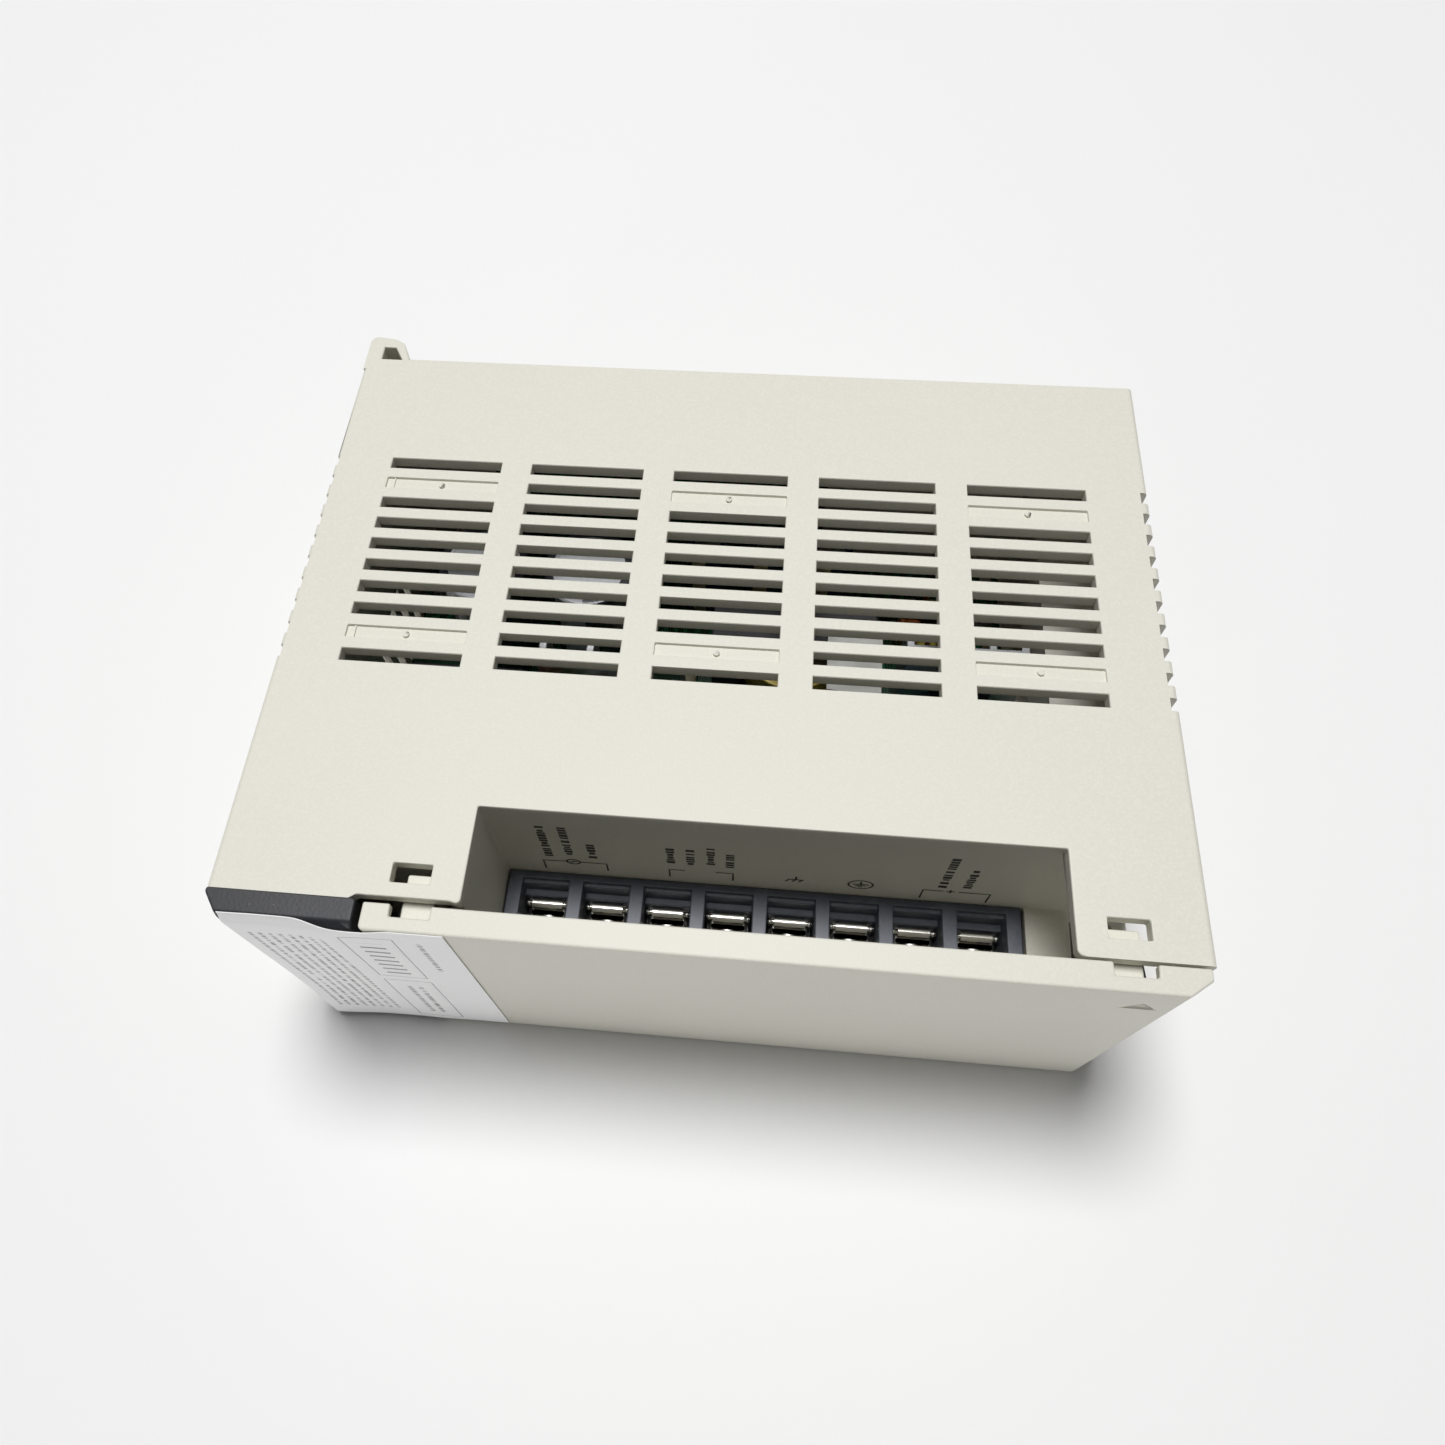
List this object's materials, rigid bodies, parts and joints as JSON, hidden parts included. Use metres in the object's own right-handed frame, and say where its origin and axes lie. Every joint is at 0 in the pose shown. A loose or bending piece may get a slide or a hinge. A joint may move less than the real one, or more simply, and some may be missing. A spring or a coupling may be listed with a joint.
{
  "type": "power supply unit",
  "caption": "Rack-mounted power supply unit for a control backplane: vented moulded case, dark bezel, pull-off terminal cover over a row of screw terminals.",
  "frame": {"origin": "under the middle of the unit, at the bottom of its bounding box, where its left side lies on a surface", "axes": "+Z out of the unit's vented right side (up, as it lies), +X towards the unit's bottom end, -X towards its top end with the bezel and hook lugs, -Y out of its front, +Y out of its rear, towards the backplane"},
  "size_m": [0.13, 0.1042, 0.054],
  "materials": {
    "case_plastic": "fine spark-eroded satin",
    "base_plastic": "fine spark-eroded satin",
    "bezel_plastic": "fine grained satin",
    "cover_plastic": "fine spark-eroded satin",
    "label_paper": "uncoated paper with plain ruled boxes",
    "clear_plastic": "clear polished",
    "led_epoxy": "tinted gloss",
    "marking_ink": "printed ink",
    "terminal_plastic": "satin thermoset",
    "nickel_plate": "bright nickel plate",
    "brass": "machined",
    "zinc_steel": "bright zinc plate",
    "spring_steel": "blackened",
    "fibre_sheet": "calendered fibre sheet",
    "circuit_board": "solder mask",
    "connector_plastic": "satin",
    "fuse_glass": "clear glass with plated caps",
    "varistor_epoxy": "dipped epoxy",
    "thermistor_epoxy": "dipped epoxy",
    "film_capacitor": "moulded box",
    "disc_capacitor": "dipped epoxy",
    "ferrite": "sintered ferrite",
    "copper_wire": "enamelled copper wire",
    "chip_epoxy": "moulded epoxy",
    "capacitor_sleeve": "shrink sleeve",
    "sink_aluminium": "satin extrusion",
    "winding_tape": "polyester tape",
    "powder_core": "painted iron powder",
    "relay_plastic": "moulded cover",
    "resistor_body": "cement coat"
  },
  "bodies": {
    "case": {"case_shell": "case_plastic", "rear_base": "base_plastic", "front_bezel": "bezel_plastic", "wiring_marks": "marking_ink", "terminal_block": "terminal_plastic", "terminal_plates": "nickel_plate", "clamp_washers": "nickel_plate", "screw_collar": "spring_steel", "base_screws": "zinc_steel", "backplane_connector": "connector_plastic", "connector_pins": "brass", "light_guide": "clear_plastic", "power_led": "led_epoxy", "terminal_inserts": "brass", "insulating_sheet": "fibre_sheet", "main_board": "circuit_board", "board_spacers": "brass", "board_screws": "zinc_steel", "rear_board": "circuit_board", "line_fuse": "fuse_glass", "fuse_clips": "nickel_plate", "varistor": "varistor_epoxy", "inrush_thermistor": "thermistor_epoxy", "line_filter_capacitor": "film_capacitor", "safety_capacitors": "disc_capacitor", "choke_core": "ferrite", "choke_winding": "copper_wire", "bridge_rectifier": "chip_epoxy", "bulk_capacitors": "capacitor_sleeve", "primary_heatsink": "sink_aluminium", "switching_transistor": "chip_epoxy", "transformer_core": "ferrite", "transformer_bobbin": "connector_plastic", "transformer_winding": "winding_tape", "secondary_heatsink": "sink_aluminium", "output_diode": "chip_epoxy", "heatsink_screws": "zinc_steel", "inductor_core": "powder_core", "inductor_winding": "copper_wire", "output_capacitors": "capacitor_sleeve", "output_relay": "relay_plastic", "optocouplers": "chip_epoxy", "control_card": "circuit_board", "control_chip": "chip_epoxy", "power_resistors": "resistor_body"},
    "cover": {"terminal_cover": "cover_plastic", "notice_label": "label_paper"},
    "mounting_screw": {"mounting_screw": "zinc_steel"},
    "terminal_screw_1": {"terminal_screw_1": "nickel_plate"},
    "terminal_screw_2": {"terminal_screw_2": "nickel_plate"},
    "terminal_screw_3": {"terminal_screw_3": "nickel_plate"},
    "terminal_screw_4": {"terminal_screw_4": "nickel_plate"},
    "terminal_screw_5": {"terminal_screw_5": "nickel_plate"},
    "terminal_screw_6": {"terminal_screw_6": "nickel_plate"},
    "terminal_screw_7": {"terminal_screw_7": "nickel_plate"},
    "terminal_screw_8": {"terminal_screw_8": "nickel_plate"}
  },
  "joints": [
    {"name": "cover_pull", "type": "slide", "parent": "case", "child": "cover", "axis": [0, -1, 0], "range_m": [0, 0.03]},
    {"name": "mounting_screw_turn", "type": "hinge", "parent": "case", "child": "mounting_screw", "pos_m": [0.0595, 0.04713, 0.027], "axis": [0, 1, 0], "continuous": true},
    {"name": "terminal_screw_1_turn", "type": "hinge", "parent": "case", "child": "terminal_screw_1", "pos_m": [-0.0246, -0.03988, 0.019], "axis": [0, 1, 0], "continuous": true},
    {"name": "terminal_screw_2_turn", "type": "hinge", "parent": "case", "child": "terminal_screw_2", "pos_m": [-0.0151, -0.03988, 0.019], "axis": [0, 1, 0], "continuous": true},
    {"name": "terminal_screw_3_turn", "type": "hinge", "parent": "case", "child": "terminal_screw_3", "pos_m": [-0.0056, -0.03988, 0.019], "axis": [0, 1, 0], "continuous": true},
    {"name": "terminal_screw_4_turn", "type": "hinge", "parent": "case", "child": "terminal_screw_4", "pos_m": [0.0039, -0.03988, 0.019], "axis": [0, 1, 0], "continuous": true},
    {"name": "terminal_screw_5_turn", "type": "hinge", "parent": "case", "child": "terminal_screw_5", "pos_m": [0.0134, -0.03988, 0.019], "axis": [0, 1, 0], "continuous": true},
    {"name": "terminal_screw_6_turn", "type": "hinge", "parent": "case", "child": "terminal_screw_6", "pos_m": [0.0229, -0.03988, 0.019], "axis": [0, 1, 0], "continuous": true},
    {"name": "terminal_screw_7_turn", "type": "hinge", "parent": "case", "child": "terminal_screw_7", "pos_m": [0.0324, -0.03988, 0.019], "axis": [0, 1, 0], "continuous": true},
    {"name": "terminal_screw_8_turn", "type": "hinge", "parent": "case", "child": "terminal_screw_8", "pos_m": [0.0419, -0.03988, 0.019], "axis": [0, 1, 0], "continuous": true}
  ]
}
